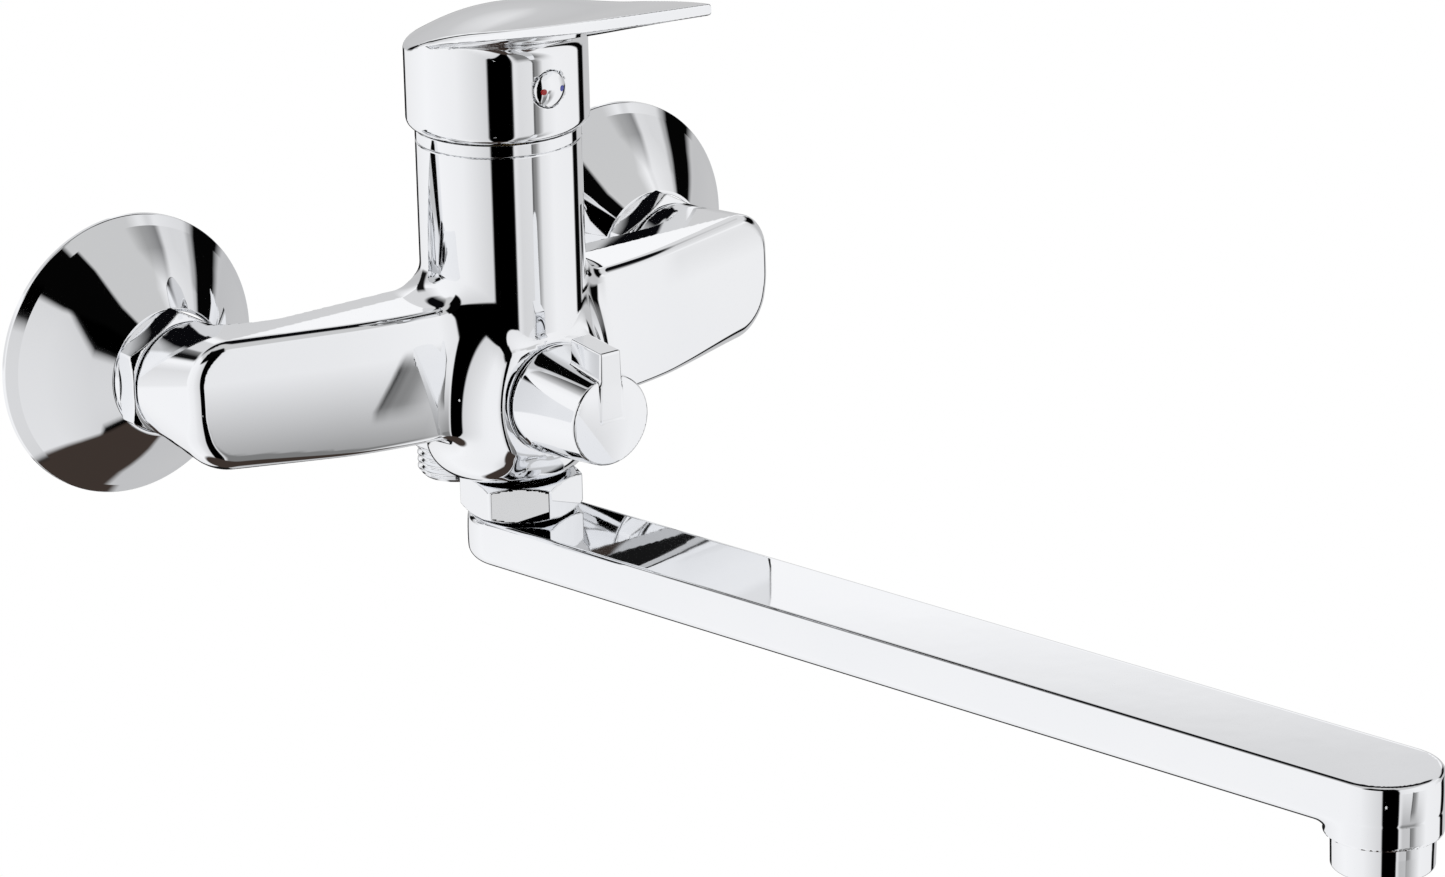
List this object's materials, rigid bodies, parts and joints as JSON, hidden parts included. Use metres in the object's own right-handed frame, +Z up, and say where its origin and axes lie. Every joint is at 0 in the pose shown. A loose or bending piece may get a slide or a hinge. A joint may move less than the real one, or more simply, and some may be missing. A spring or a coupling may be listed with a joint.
{
  "type": "wall mounted bath faucet",
  "caption": "Wall mounted single-lever bath mixer with bow-shaped body, long swivel spout, diverter knob and hose outlet.",
  "frame": {"origin": "midway between the two wall inlet threads, on the wall face", "axes": "+X runs right along the wall, +Y goes into the wall, +Z is up; the user stands at -Y"},
  "size_m": [0.222, 0.3578, 0.1734],
  "materials": {
    "chrome": "mirror-polished chrome plate on brass",
    "brass": "machined brass",
    "steel": "turned stainless steel",
    "ceramic": "lapped alumina ceramic, stood in for by gloss plastic",
    "white_plastic": "moulded acetal",
    "rubber": "moulded rubber",
    "red_mark": "gloss red",
    "blue_mark": "gloss blue"
  },
  "bodies": {
    "mixer": {"mixer_body": "chrome", "eccentric_union_left": "chrome", "eccentric_union_right": "chrome", "wall_flange_left": "chrome", "wall_flange_right": "chrome", "union_nut_left": "chrome", "union_nut_right": "chrome", "trim_ring": "chrome", "spout_nut": "chrome", "hose_outlet_nipple": "chrome", "union_tail_left": "brass", "union_tail_right": "brass", "cartridge_nut": "brass", "diverter_housing": "brass", "fixed_ceramic_disc": "ceramic", "diverter_fixed_disc": "ceramic", "cartridge_base": "white_plastic", "cartridge_housing": "white_plastic", "union_gasket_left": "rubber", "union_gasket_right": "rubber", "cartridge_seals": "rubber", "diverter_seals": "rubber"},
    "handle_carrier": {"cartridge_carrier": "white_plastic", "tilt_pin": "steel"},
    "lever": {"lever_handle": "chrome", "handle_set_screw": "steel", "index_plug": "chrome", "index_dot_red": "red_mark", "index_dot_blue": "blue_mark", "cartridge_stem": "brass"},
    "disc_slider": {"moving_ceramic_disc": "ceramic", "disc_driver": "white_plastic"},
    "diverter_selector": {"diverter_knob": "chrome", "knob_spline_insert": "white_plastic", "diverter_stem": "brass", "diverter_stem_seal": "rubber", "diverter_moving_disc": "ceramic"},
    "spout_arm": {"spout": "chrome", "spout_seals": "rubber", "spout_snap_ring": "white_plastic", "aerator_shell": "chrome", "aerator_insert": "white_plastic", "aerator_gasket": "rubber"}
  },
  "joints": [
    {"name": "lever_turn", "type": "hinge", "parent": "mixer", "child": "handle_carrier", "pos_m": [0, -0.0586, 0.057], "axis": [0, 0, 1], "range_deg": [-45, 45]},
    {"name": "lever_lift", "type": "hinge", "parent": "handle_carrier", "child": "lever", "pos_m": [0, -0.0586, 0.057], "axis": [-1, 0, 0], "range_deg": [0, 24]},
    {"name": "disc_slide", "type": "slide", "parent": "handle_carrier", "child": "disc_slider", "axis": [0, -1, 0], "range_m": [0, 0.00503]},
    {"name": "diverter_turn", "type": "hinge", "parent": "mixer", "child": "diverter_selector", "pos_m": [0, -0.0803, 0.0001], "axis": [0, 1, 0], "range_deg": [0, 180]},
    {"name": "spout_swivel", "type": "hinge", "parent": "mixer", "child": "spout_arm", "pos_m": [0, -0.0635, -0.03], "axis": [0, 0, 1], "range_deg": [-100.8, 79.2]}
  ],
  "couplings": [
    {"joint": "disc_slide", "follows": "lever_lift", "m_per_rad": 0.012}
  ]
}
